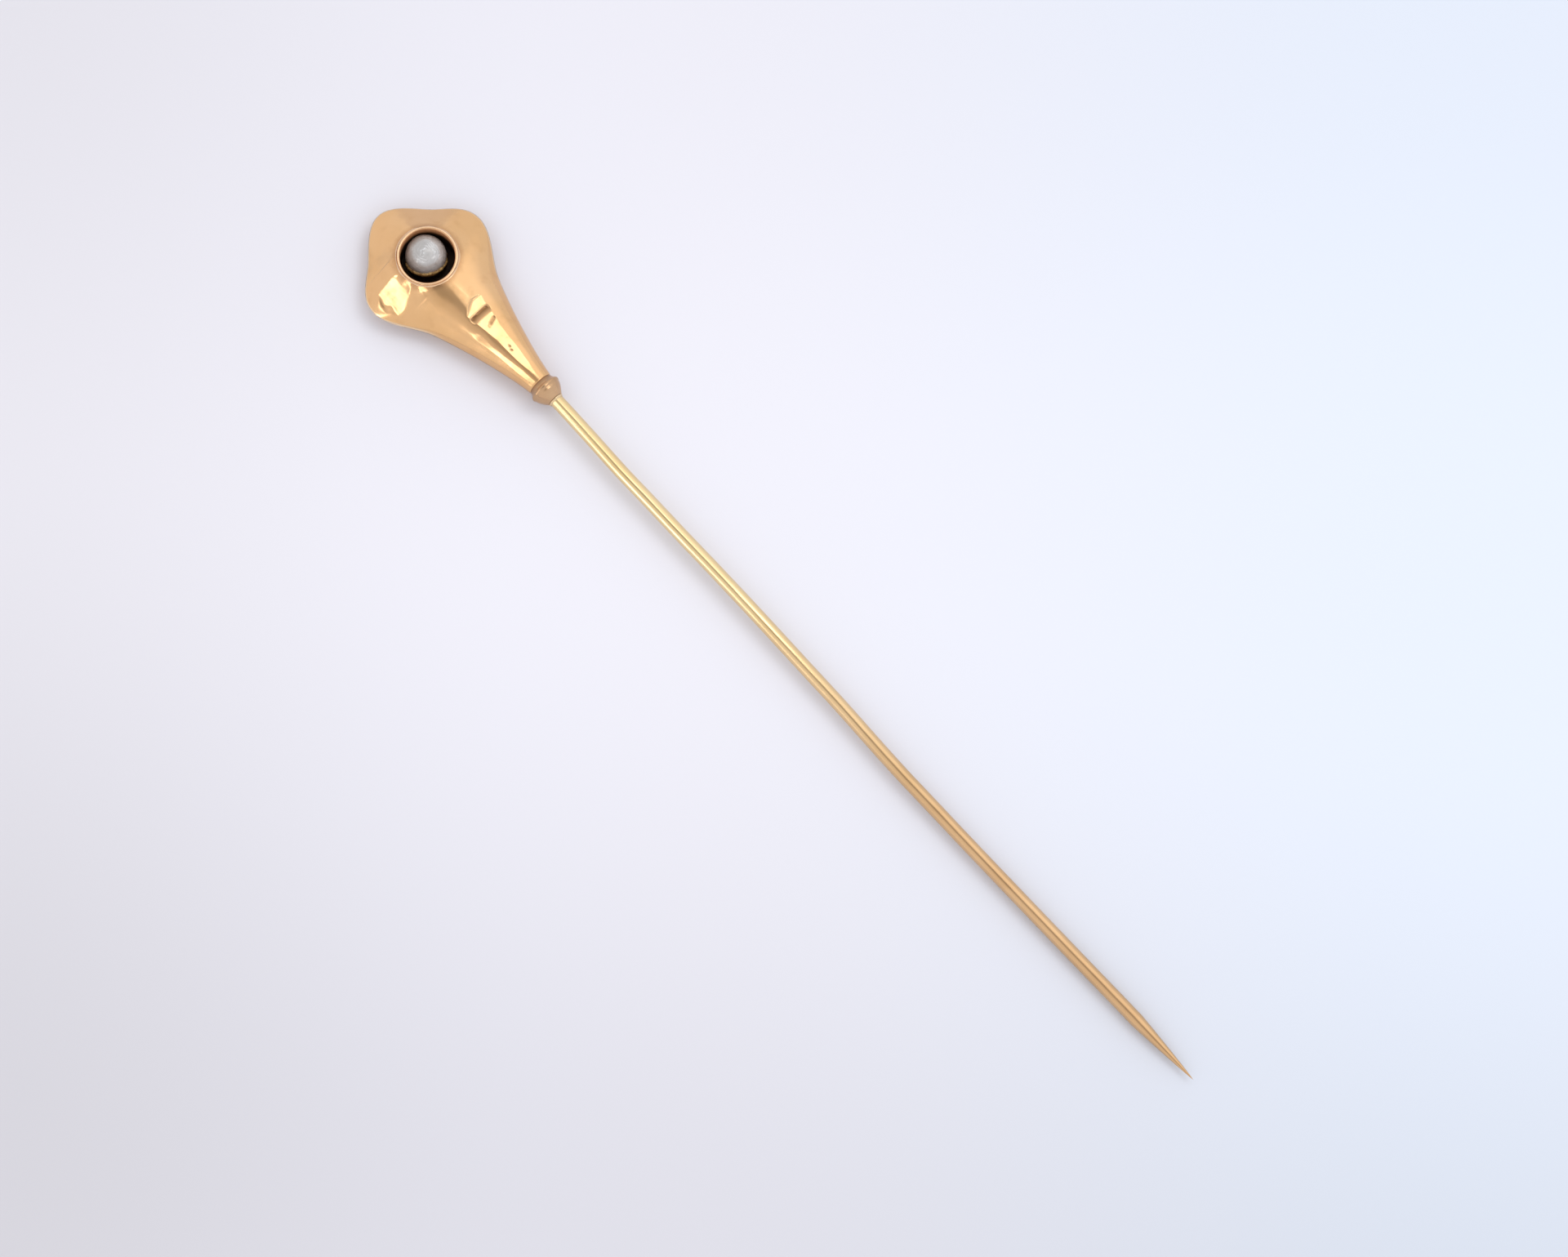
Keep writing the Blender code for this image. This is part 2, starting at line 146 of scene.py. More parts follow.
def half_outline(steps):
    """The head's half outline as rows of (x, half width). steps counts the points of each stretch."""
    runs = []
    for knot, following, count in zip(OUTLINE_KNOTS, OUTLINE_KNOTS[1:], steps):
        start, end = np.array(knot[:2]), np.array(following[:2])
        leaving, arriving = math.radians(knot[2]), math.radians(following[2])
        out = start + knot[4] * np.array((math.cos(leaving), math.sin(leaving)))
        back = end - following[3] * np.array((math.cos(arriving), math.sin(arriving)))
        t = (np.arange(count) / count)[:, None]
        near_start = (1 - t) ** 3 * start + 3 * (1 - t) ** 2 * t * out
        runs.append(near_start + 3 * (1 - t) * t**2 * back + t**3 * end)
    return np.vstack(runs + [np.array([OUTLINE_KNOTS[-1][:2]])])


FINE_OUTLINE = half_outline((400, 400, 400, 800))
BEARINGS = np.linspace(0.0, math.pi, 2000)
RAW_REACH = np.interp(
    BEARINGS,
    np.arctan2(FINE_OUTLINE[:, 1], FINE_OUTLINE[:, 0])[::-1],
    np.hypot(FINE_OUTLINE[:, 0], FINE_OUTLINE[:, 1])[::-1],
)


def reach(x, y):
    """How far the outline lies from the middle of the head, in the direction of each point."""
    return np.interp(np.arctan2(np.abs(y), x), BEARINGS, RAW_REACH)


def half_width(x):
    return np.interp(x, FINE_OUTLINE[:, 0], FINE_OUTLINE[:, 1])


def noise_2d(x, y, cell, seed):
    """Smooth noise from -1 to 1, with bumps about one cell across."""
    size = 64
    lattice = np.random.default_rng(seed).uniform(-1, 1, (size, size))
    u, v = np.asarray(x) / cell + 31.7, np.asarray(y) / cell + 17.3
    iu, iv = np.floor(u).astype(int), np.floor(v).astype(int)
    fu, fv = u - iu, v - iv
    su, sv = fu * fu * (3 - 2 * fu), fv * fv * (3 - 2 * fv)

    def corner(a, b):
        return lattice[(iu + a) % size, (iv + b) % size]

    low = corner(0, 0) * (1 - su) + corner(1, 0) * su
    high = corner(0, 1) * (1 - su) + corner(1, 1) * su
    return low * (1 - sv) + high * sv


def edge_distance(x, y):
    """Distance in plan from each point to the head's outline."""
    line = FINE_OUTLINE[::2]
    px, py = x.ravel(), np.abs(y.ravel())
    nearest, best = np.zeros(len(px), int), np.full(len(px), 1e9)
    for start in range(0, len(line), 50):
        part = line[start : start + 50]
        gap = (px[:, None] - part[:, 0]) ** 2 + (py[:, None] - part[:, 1]) ** 2
        closest = gap.argmin(axis=1)
        value = gap[np.arange(len(px)), closest]
        nearest = np.where(value < best, closest + start, nearest)
        best = np.minimum(best, value)
    result = np.full(len(px), 1e9)
    for shift in (-1, 0):
        first = np.clip(nearest + shift, 0, len(line) - 2)
        a, along = line[first], line[first + 1] - line[first]
        ahead = (px - a[:, 0]) * along[:, 0] + (py - a[:, 1]) * along[:, 1]
        t = np.clip(ahead / (along**2).sum(axis=1), 0, 1)
        result = np.minimum(result, np.hypot(px - a[:, 0] - t * along[:, 0], py - a[:, 1] - t * along[:, 1]))
    return result.reshape(x.shape)


# Meshes --------------------------------------------------------------------------------------------


def mesh_object(name, points, faces, sharp_degrees=50.0):
    """A mesh object in metres from points in millimetres."""
    mesh = bpy.data.meshes.new(name)
    mesh.from_pydata((np.asarray(points) * MM).tolist(), [], faces)
    mesh.validate()
    bm = bmesh.new()
    bm.from_mesh(mesh)
    bmesh.ops.recalc_face_normals(bm, faces=bm.faces)
    bm.to_mesh(mesh)
    bm.free()
    mesh.shade_smooth()
    mesh.set_sharp_from_angle(angle=math.radians(sharp_degrees))
    obj = bpy.data.objects.new(name, mesh)
    bpy.context.scene.collection.objects.link(obj)
    return obj


def ring_faces(rows, segments, first_pole=False, last_pole=False, loop=False):
    """Faces of a turned mesh whose points are rows of segments each. A pole row has one point."""
    faces = []
    starts, at = [], 0
    for r in range(rows):
        starts.append(at)
        at += 1 if (r == 0 and first_pole) or (r == rows - 1 and last_pole) else segments

    def index(r, k):
        pole = (r == 0 and first_pole) or (r == rows - 1 and last_pole)
        return starts[r] + (0 if pole else k % segments)

    pairs = [(r, r + 1) for r in range(rows - 1)] + ([(rows - 1, 0)] if loop else [])
    for a, b in pairs:
        for k in range(segments):
            corners = (index(a, k), index(a, k + 1), index(b, k + 1), index(b, k))
            faces.append(tuple(dict.fromkeys(corners)))
    return faces


def float_attribute(obj, name, values):
    """A number for each vertex, which the materials can read."""
    attribute = obj.data.attributes.new(name, "FLOAT", "POINT")
    attribute.data.foreach_set("value", np.asarray(values, np.float32))


def finish_piece(obj, nodes, mat):
    obj.data.materials.clear()
    obj.data.materials.append(mat)
    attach(obj, ROOT)
    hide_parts(*nodes)
    return obj


# The head's two shells -----------------------------------------------------------------------------

# Planes are given as (height over the seam at the origin, slope in x, slope in y).
# The crest of the neck has been knocked flat by one.
FLAT_PLANE = (1.530, -0.0722, -0.048)
FLAT_START, FLAT_START_LEAN, FLAT_END = 3.80, -0.50, 9.3
# A burnished line runs down the neck at this share of its half width, this wide.
STREAK_SHARE, STREAK_BREADTH, STREAK_START = -0.50, 0.22, (4.9, 5.7)
# Another plane cuts the ridge on the near left, between these two places in y.
DENT_PLANE, DENT_REACH = (2.532, -0.0344, 0.599), (-3.50, -2.05)
CREASE_X = 4.38
# Smaller dents in the flat: start, end, half breadth, depth and how dirty each one is.
SMALL_DENTS = (
    ((5.30, 0.58), (5.44, 0.20), 0.115, 0.034, 0.7),
    ((5.44, 0.20), (5.54, -0.02), 0.085, 0.014, 0.3),
    ((7.18, 0.08), (7.22, 0.06), 0.085, 0.020, 0.6),
    ((7.42, -0.02), (7.46, 0.01), 0.080, 0.020, 0.6),
)


def plain_front(x, y):
    """Height of the struck front over the seam plane, before any dents: a cone and a neck."""
    edge = reach(x, y)
    flank = FLANK_TOP * (edge - np.hypot(x, y)) / (edge - COLLET_RADIUS)
    roundness = smooth_step(x, *NECK_ROUND)
    across = np.clip(np.abs(y) / np.maximum(half_width(x), 1e-6), 0, 1)
    crown = CROWN_SOFTNESS * (1 - roundness)
    across = (np.hypot(across, crown) - crown) / (np.hypot(1, crown) - crown)
    section = np.maximum(1 - across ** (1.5 + 0.5 * roundness), 0) ** (1 / (1.15 + 0.85 * roundness))
    neck = smooth_curve(CREST_KNOTS, x) * section * smooth_step(x, *NECK_RISE)
    blend = NECK_BLEND * np.clip(np.minimum(flank, neck) / 0.4, 0, 1)
    higher = (flank + neck + np.sqrt((flank - neck) ** 2 + blend**2)) / 2
    return np.maximum(higher, 0)


def edge_lift(distance, x):
    """The height that the turned edge gives the sheet, which it reaches just inside the outline."""
    return EDGE_ROLL * (1 - smooth_step(x, *EDGE_ROLL_END)) * np.clip(distance / 0.02, 0, 1)


def rolled_edge(distance, x):
    """The sheet's edge turned down: 0 away from the outline and negative near it."""
    height = EDGE_ROLL * (1 - smooth_step(x, *EDGE_ROLL_END))
    near = np.clip(1 - distance / EDGE_ROLL_RADIUS, 0, 1)
    return height * (np.sqrt(1 - near**2) - 1)


def groove(x, y, start, end, half_breadth, depth):
    """A dent along a line from start to end, negative inside it, and its share from 0 to 1."""
    a, b = np.array(start), np.array(end)
    along = b - a
    t = np.clip(((x - a[0]) * along[0] + (y - a[1]) * along[1]) / (along @ along), 0, 1)
    gap = np.hypot(x - a[0] - t * along[0], y - a[1] - t * along[1]) / half_breadth
    share = np.clip(1 - gap, 0, 1)
    share = share * share * (3 - 2 * share)
    return -depth * share, share


def crease(x, y):
    """A blow across the crest: a short steep wall on the head's side and a floor that climbs from it."""
    middle, half_length, wall, length, depth = 0.12, 0.66, 0.09, 0.52, 0.115
    start = CREASE_X - 0.02 * (y - middle) + 0.12 * (y - middle) ** 2 + 0.03 * noise_2d(x, y, 0.35, 5)
    past = x - start
    down, up = np.clip(past / wall, 0, 1), np.clip((past - wall) / (length - wall), 0, 1)
    ends = 1 - smooth_step(np.abs(y - middle), half_length - 0.10, half_length + 0.10)
    share = np.where(past < wall, smooth_step(down, 0, 1), 1 - up) * ends
    return -depth * share, share


def lower_of(first, second, softness):
    """The lower of two heights, with the edge where they meet rounded off."""
    return (first + second - np.hypot(first - second, softness) + softness) / 2


def knocked_flat(height, x, y):
    """The plane that cuts the crest, with a soft shoulder where it starts on the head's side."""
    past = x - FLAT_START - FLAT_START_LEAN * np.minimum(y - 0.10, 0.25) + 0.05 * noise_2d(x, y, 0.5, 6)
    shoulder = 0.13 * (1 - smooth_step(past, -0.16, 0.08)) + 2.0 * np.clip(-past - 0.15, 0, None)
    plane = FLAT_PLANE[0] + FLAT_PLANE[1] * x + FLAT_PLANE[2] * y + shoulder + 0.004 * noise_2d(x, y, 0.8, 7)
    return np.where(x < FLAT_END, lower_of(height, plane, 0.003), height)


def burnished(height, x, y):
    """A narrow flat along the near side of the neck, which shows as a bright streak."""
    middle = STREAK_SHARE * half_width(x) + 0.02 * noise_2d(x, 0 * x, 1.4, 8)
    half = STREAK_BREADTH / 2
    low, high = plain_front(x, middle - half), plain_front(x, middle + half)
    share = (y - middle + half) / STREAK_BREADTH
    chord = low + (high - low) * share + 0.03 * (1 - smooth_step(x, *STREAK_START))
    inside = (x > STREAK_START[0]) & (share > -0.5) & (share < 1.5)
    return np.where(inside, lower_of(height, chord + 0.001, 0.002), height)


def dented_flat(height, x, y):
    """A shallow flat knocked on the ridge between the collet and the near left corner."""
    beyond = np.maximum(y - DENT_REACH[1], DENT_REACH[0] - y) + 0.16 * noise_2d(x, y, 0.45, 10)
    lift = 0.10 * smooth_step(beyond, -0.15, 0.25) + 2.0 * np.clip(beyond - 0.25, 0, None)
    plane = DENT_PLANE[0] + DENT_PLANE[1] * x + DENT_PLANE[2] * y + lift
    plane = plane + 0.010 * noise_2d(x, y, 0.7, 11) + 0.004 * noise_2d(x, y, 0.33, 12)
    near = (np.abs(x - 0.2) < 1.6) & (y < -1.5)
    return np.where(near, lower_of(height, plane, 0.020), height)


def front_surface(x, y):
    """Height of the front over the seam plane and the grime in its dents, at arrays of x and y."""
    height = plain_front(x, y)
    distance = edge_distance(x, y)
    height = height + edge_lift(distance, x)
    height = height + rolled_edge(distance, x)
    calm = smooth_step(distance, 0.0, 0.6)
    height = height + calm * (0.010 * noise_2d(x, y, 1.3, 3) + 0.003 * noise_2d(x, y, 0.45, 4))
    height = knocked_flat(height, x, y)
    height = burnished(height, x, y)
    height = dented_flat(height, x, y)
    drop, share = crease(x, y)
    height, grime = height + drop, np.clip(1.25 * share, 0, 1)
    for start, end, breadth, depth, dirt in SMALL_DENTS:
        drop, share = groove(x, y, start, end, breadth, depth)
        height = height + drop
        grime = np.maximum(grime, dirt * share)
    return np.maximum(height, 0), grime


def back_surface(x, y):
    """Depth of the back under the seam plane: a dished edge round a flat middle, and a round neck."""
    depth = SEAM_Z - HALF_GAP
    edge = reach(x, y)
    dish = depth * BACK_SLOPE * (1 - np.hypot(x, y) / edge)
    crest = BACK_CREST + (NECK_RADIUS - BACK_CREST) * smooth_step(x, HEAD_TO_NECK[0], NECK_END)
    across = np.clip(np.abs(y) / np.maximum(half_width(x), 1e-6), 0, 1)
    neck = crest * np.sqrt(np.maximum(1 - across**2, 0))
    share = smooth_step(x, *HEAD_TO_NECK)
    wanted = np.maximum((1 - share) * dish + share * neck, 0)
    soft = 0.10
    flat = np.where(wanted > depth + soft, depth, wanted)
    near = (wanted > depth - soft) & (wanted <= depth + soft)
    rounded = wanted - (wanted - depth + soft) ** 2 / (4 * soft)
    flat = np.where(near, rounded, flat)
    distance = edge_distance(x, y)
    flat = flat + edge_lift(distance, x) + rolled_edge(distance, x)
    flat = flat + smooth_step(distance, 0, 0.6) * 0.012 * noise_2d(x, y, 1.7, 9)
    return np.clip(flat, 0, depth), np.zeros_like(flat)


def wear_and_painted_edge_highlight(x, y):
    """1 on the sheet's turned edge, painted pale and bright: partly wear from handling, partly a painted
    highlight.
    """
    return np.clip(1 - edge_distance(x, y) / 0.09, 0, 1) * (1 - smooth_step(x, 2.0, 5.0))


def shell_grid(tuck):
    """Plan positions of a shell's vertices, in rows across the head, and those of its inner face.

    The edge is drawn in by tuck, and the inner face by more, so that the sheet has a flat edge at the seam.
    """
    outline = half_outline((56, 46, 46, 130))
    across = np.sin(np.linspace(-math.pi / 2, math.pi / 2, 151))
    x = np.repeat(outline[:, :1], len(across), axis=1)
    y = outline[:, 1:] * across
    distance = edge_distance(x, y)
    nearer = 1 - tuck * (1 - smooth_step(distance, 0.0, 0.5)) / np.maximum(np.hypot(x, y), 0.5)
    on_head = x < 3.5
    narrower = 1 - tuck / np.maximum(outline[:, 1:], 0.5)
    x, y = np.where(on_head, x * nearer, x), y * np.where(on_head, nearer, narrower)
    neck = smooth_step(x, 3.0, 5.0)
    neck_inset, head_inset = 0.25, 0.45
    inset = head_inset + (neck_inset - head_inset) * smooth_step(x, 0.5, 6.5)
    shift = inset * (1 - smooth_step(distance, 0.0, 1.35))
    towards = np.hypot(x, y) + 1e-9
    head_x, head_y = x - shift * x / towards, y - shift * y / towards
    neck_y = y * (1 - neck_inset / np.maximum(outline[:, 1:], 0.3))
    inner_x = head_x * (1 - neck) + x * neck
    inner_y = head_y * (1 - neck) + neck_y * neck
    return x, y, inner_x, inner_y


def shell_object(name, surface, upward, hole, nodes, mat):
    """A half shell with its inner face, its flat seam edge and one round hole: (centre, radius)."""
    back_tuck = 0.03
    x, y, inner_x, inner_y = shell_grid(0.0 if upward else back_tuck)
    rows, columns = x.shape
    centre, radius = np.array(hole[0]), hole[1]
    gone = np.hypot(x - centre[0], y - centre[1]) < radius
    quad_gone = gone[:-1, :-1] | gone[1:, :-1] | gone[:-1, 1:] | gone[1:, 1:]
    touches = np.zeros_like(gone)
    for di in (0, 1):
        for dj in (0, 1):
            touches[di : rows - 1 + di, dj : columns - 1 + dj] |= quad_gone
    kept = np.zeros_like(gone)
    for di in (0, 1):
        for dj in (0, 1):
            kept[di : rows - 1 + di, dj : columns - 1 + dj] |= ~quad_gone
    rim = touches & kept
    away = np.hypot(x - centre[0], y - centre[1])
    x = np.where(rim, centre[0] + (x - centre[0]) * radius / away, x)
    y = np.where(rim, centre[1] + (y - centre[1]) * radius / away, y)
    inner_x, inner_y = np.where(rim, x, inner_x), np.where(rim, y, inner_y)
    height, grime = surface(x, y)
    inner_height = surface(inner_x, inner_y)[0] - SHEET_THICKNESS
    rounding, rounded_length = 0.045, 0.10
    end_round = 1 - rounding * np.clip((x - NECK_END + rounded_length) / rounded_length, 0, 1) ** 2
    height, y = height * end_round, y * end_round
    height[:, (0, -1)] = 0
    height[0] = 0
    inner_height[:, (0, -1)] = 0
    inner_height[0] = 0
    inner_height = np.maximum(inner_height, 0)
    sign, level = (1, SEAM_Z + SEAM_OFFSET) if upward else (-1, SEAM_Z - SEAM_OFFSET)
    outer = np.stack((x, y, level + sign * height), axis=-1)
    inner = np.stack((inner_x, inner_y, level + sign * inner_height), axis=-1)

    number = {}
    points, dirt, wear_and_painted_highlight = [], [], []
    worn = wear_and_painted_edge_highlight(x, y)

    def index(layer, i, j):
        key = (layer, i, j if i else 0)
        if key not in number:
            number[key] = len(points)
            points.append((outer if layer == 0 else inner)[i, j if i else columns // 2])
            dirt.append(grime[i, j] if layer == 0 else 0.0)
            wear_and_painted_highlight.append(worn[i, j] if layer == 0 else 0.0)
        return number[key]

    faces = []

    def face(*corners):
        unique = tuple(dict.fromkeys(index(*c) for c in corners))
        if len(unique) > 2:
            faces.append(unique)

    for i in range(rows - 1):
        for j in range(columns - 1):
            if quad_gone[i, j]:
                for (a, b), (p, q) in (
                    ((i - 1, j), ((i, j), (i, j + 1))),
                    ((i + 1, j), ((i + 1, j), (i + 1, j + 1))),
                    ((i, j - 1), ((i, j), (i + 1, j))),
                    ((i, j + 1), ((i, j + 1), (i + 1, j + 1))),
                ):
                    if not quad_gone[a, b]:
                        face((0, *p), (0, *q), (1, *q), (1, *p))
                continue
            for layer in (0, 1):
                face((layer, i, j), (layer, i + 1, j), (layer, i + 1, j + 1), (layer, i, j + 1))
        for j in (0, columns - 1):
            face((0, i, j), (0, i + 1, j), (1, i + 1, j), (1, i, j))
    for j in range(columns - 1):
        face((0, rows - 1, j), (0, rows - 1, j + 1), (1, rows - 1, j + 1), (1, rows - 1, j))
    obj = mesh_object(name, points, faces, 60)
    float_attribute(obj, "grime", dirt)
    float_attribute(obj, "wear_and_painted_highlight", wear_and_painted_highlight)
    return finish_piece(obj, nodes, mat)


# The setting ---------------------------------------------------------------------------------------


def collet_skin(mat):
    """The collet tube with a worn rim and a fillet of solder where it stands on the head."""
    segments = 240
    angle = np.linspace(0, 2 * math.pi, segments, endpoint=False)
    cos, sin = np.cos(angle), np.sin(angle)

    def wobble(cell, seed):
        return noise_2d(cos * 3, sin * 3, cell, seed)

    def surface_at(radius):
        x, y = COLLET_CENTRE[0] + radius * cos, COLLET_CENTRE[1] + radius * sin
        return SEAM_Z + SEAM_OFFSET + front_surface(x, y)[0]

    outer = np.full(segments, COLLET_RADIUS)
    inner = WELL_RADIUS + 0.012 * wobble(1.6, 21)
    top = RIM_Z - 0.018 + 0.012 * wobble(1.9, 22)
    foot = np.full(segments, COLLET_LOW[2])
    fillet = 0.085
    width = fillet + 0.02 * wobble(0.9, 23)
    profile = [(inner, foot), (outer, foot), (outer, surface_at(COLLET_RADIUS) - 0.35)]
    profile += [(outer, surface_at(COLLET_RADIUS) + 0.004)]
    profile += [(outer + width, surface_at(COLLET_RADIUS + fillet) + 0.002)]
    for share in (0.75, 0.5, 0.3, 0.15, 0.0):
        lift = 0.004 + 0.07 * (1 - share) ** 2.2
        profile.append((outer + width * share, surface_at(COLLET_RADIUS + fillet * share) + lift))
    rim_round = 0.085
    profile.append((outer, top - 0.16))
    half_wall, middle = (outer - inner) / 2, (outer + inner) / 2
    for a in np.linspace(0, math.pi, 17):
        profile.append((middle + half_wall * math.cos(a), top - rim_round * (1 - math.sin(a))))
    for drop in (0.12, 0.25, 0.45, 0.8, 1.3):
        profile.append((inner, top - drop))
    rows = [
        np.column_stack((COLLET_CENTRE[0] + r * cos, COLLET_CENTRE[1] + r * sin, z)) for r, z in profile
    ]
    obj = mesh_object("collet_skin", np.vstack(rows), ring_faces(len(rows), segments, loop=True), 45)
    return finish_piece(obj, ["collet"], mat)


PEARL_RADII, PEARL_TURN = np.array((1.24, 1.22, 1.10)), math.radians(47)


def pearl_point(polar, angle, shrink=0.0):
    """A point on the uneven pearl. polar runs from 0 at the top to pi at the bottom."""
    x, y = np.sin(polar) * np.cos(angle), np.sin(polar) * np.sin(angle)
    z = np.cos(polar) * np.ones_like(angle)
    lobes = np.cos(3 * angle + 0.6) * np.sin(polar) ** 2
    uneven = 0.010 * noise_2d(x * 2 + z, y * 2 - z, 0.8, 31) + 0.008 * lobes
    size = 0.985 + uneven - shrink
    px, py, pz = PEARL_RADII[0] * x * size, PEARL_RADII[1] * y * size, PEARL_RADII[2] * z * size
    turned_x = px * math.cos(PEARL_TURN) - py * math.sin(PEARL_TURN)
    turned_y = px * math.sin(PEARL_TURN) + py * math.cos(PEARL_TURN)
    return np.column_stack((PEARL_CENTRE[0] + turned_x, PEARL_CENTRE[1] + turned_y, PEARL_CENTRE[2] + pz))


def pearl_skin(mat):
    """The half-drilled pearl: a slightly baroque round with its drill hole underneath."""
    segments = 160
    angle = np.linspace(0, 2 * math.pi, segments, endpoint=False)
    bore = PEG_RADIUS + 0.02
    last = math.pi - math.asin(bore / 1.18)
    rows = [pearl_point(polar, angle) for polar in np.linspace(0, last, 110)[1:]]
    mouth = rows[-1]
    bore_top = PEG_HIGH[2] + 0.02
    ring = np.column_stack((PEARL_CENTRE[0] + bore * np.cos(angle), PEARL_CENTRE[1] + bore * np.sin(angle)))
    for share in (0.15, 0.5, 1.0):
        height = mouth[:, 2] * (1 - share) + bore_top * share
        rows.append(np.column_stack((ring, height)))
    top = pearl_point(0.0, np.zeros(1))
    end = np.array([[PEARL_CENTRE[0], PEARL_CENTRE[1], bore_top]])
    points = np.vstack([top] + rows + [end])
    obj = mesh_object("pearl_skin", points, ring_faces(len(rows) + 2, segments, True, True), 60)
    return finish_piece(obj, ["pearl"], mat)


def cement_skin(mat):
    """Old cement round the pearl's foot, climbing higher on the side towards the neck."""
    segments = 160
    angle = np.linspace(0, 2 * math.pi, segments, endpoint=False)
    round_x, round_y = np.cos(angle) * 2, np.sin(angle) * 2
    ragged = noise_2d(round_x, round_y, 0.22, 41) + 0.7 * noise_2d(round_x, round_y, 0.6, 42)
    high_side = 0.5 + 0.5 * np.cos(angle - math.radians(-35))
    climb = 2.25 - 0.86 * high_side**1.2 - 0.07 * ragged
    bottom, lowest = PEG_LOW[2], math.pi - math.asin((PEG_RADIUS + 0.12) / 1.2)
    rows = []
    for share in np.linspace(0, 1, 16):
        rows.append(pearl_point(lowest + (climb - lowest) * share, angle - PEARL_TURN, -0.004))
    middle, edge = PEARL_CENTRE[:2], rows[-1]
    out = (edge[:, :2] - middle) / np.linalg.norm(edge[:, :2] - middle, axis=1)[:, None]
    start = rows[0].copy()
    body = 0.95 + 0.28 * high_side
    skirt = (
        (0.022 + 0.020 * high_side, edge[:, 2] + 0.006),
        (0.045 + 0.055 * high_side, edge[:, 2] - 0.05),
        (0.050 + 0.070 * high_side, edge[:, 2] - 0.14),
    )
    for spread, height in skirt:
        rows.append(np.column_stack((edge[:, :2] + out * (spread * (1 + 0.25 * ragged))[:, None], height)))
    foot = (
        (body * 0.98, 0.45),
        (body * 0.95 + 0.03 * ragged, 0.15),
        (body + 0.10, 0.0),
        (PEG_RADIUS + 0.03, 0.0),
    )
    for radius, share in foot:
        height = bottom + (edge[:, 2] - 0.2 - bottom) * share
        rows.append(np.column_stack((middle + out * (radius + 0 * angle)[:, None], height)))
    rows.append(np.column_stack((middle + out * (PEG_RADIUS + 0.03), start[:, 2] - 0.002)))
    obj = mesh_object("cement_skin", np.vstack(rows), ring_faces(len(rows), segments, loop=True), 60)
    return finish_piece(obj, ["pearl_cement"], mat)


# Collar and wire -----------------------------------------------------------------------------------


def turned_on_axis(profile, segments, uneven):
    """Points of a piece turned about the wire's axis, from rows of (x, radius, how much it may wander)."""
    angle = np.linspace(0, 2 * math.pi, segments, endpoint=False)
    rows = []
    for x, radius, freedom in profile:
        wander = freedom * noise_2d(np.cos(angle) * 2 + x, np.sin(angle) * 2, 0.7, uneven)
        reach_out = radius + wander
        column = (np.full(segments, x), reach_out * np.cos(angle), SEAM_Z + reach_out * np.sin(angle))
        rows.append(np.column_stack(column))
    return rows


def collar_skin(mat):
    """The turned collar: a hollow flare, a soft ridge, a straight cone and the spigot inside the neck."""
    start, nose = NECK_END + 0.003, COLLAR_HIGH[0]
    spigot_start, bore = COLLAR_LOW[0], WIRE_RADIUS + 0.02
    top = COLLAR_HIGH[1] - 0.008
    spigot_radius, nose_radius, segments = 0.53, 0.52, 144
    profile = [(spigot_start, bore, 0), (spigot_start, spigot_radius, 0), (start, spigot_radius, 0)]
    flare_end, ridge_end = 10.21, 10.42
    profile.append((start, NECK_RADIUS - 0.05, 0.0))
    for t in np.linspace(0.04, 1, 14):
        radius = NECK_RADIUS - 0.03 + (top - 0.05 - NECK_RADIUS + 0.03) * t**1.7
        profile.append((start + (flare_end - start) * t, radius, 0.006))
    for t in np.linspace(0, 1, 11):
        bulge = math.sin(math.pi * (0.10 + 0.80 * t))
        radius = top - 0.055 + 0.055 * bulge
        profile.append((flare_end + 0.008 + (ridge_end - flare_end) * t, radius, 0.004))
    cone_start = profile[-1]
    for t in np.linspace(0.08, 1, 14):
        x = cone_start[0] + (nose - 0.03 - cone_start[0]) * t
        belly, groove_depth = 0.045 * math.sin(math.pi * t), 0.030 * math.exp(-((t / 0.12) ** 2))
        radius = cone_start[1] + (nose_radius - cone_start[1]) * t + belly - groove_depth
        profile.append((x, radius, 0.006 * (1 - t)))
    profile += [(nose - 0.008, 0.50, 0), (nose, 0.475, 0), (nose, bore, 0)]
    rows = turned_on_axis(profile, segments, 51)
    obj = mesh_object("collar_skin", np.vstack(rows), ring_faces(len(rows), segments, loop=True), 40)
    return finish_piece(obj, ["collar"], mat)


def solder_skin(mat):
    """The bright ring of solder at the collar's nose."""
    start, end = BEAD_LOW[0] + 0.001, BEAD_HIGH[0]
    bore, top = WIRE_RADIUS + 0.006, BEAD_HIGH[1] - 0.004
    profile = [(start, bore, 0), (start, top - 0.006, 0.004)]
    for t in np.linspace(0.1, 1, 8):
        x = start + (end - start) * t
        profile.append((x, bore + (top - bore) * (1 - t**1.4), 0.004 * (1 - t)))
    segments = 96
    rows = turned_on_axis(profile, segments, 52)
    obj = mesh_object("solder_skin", np.vstack(rows), ring_faces(len(rows), segments, loop=True), 50)
    return finish_piece(obj, ["solder_bead"], mat)


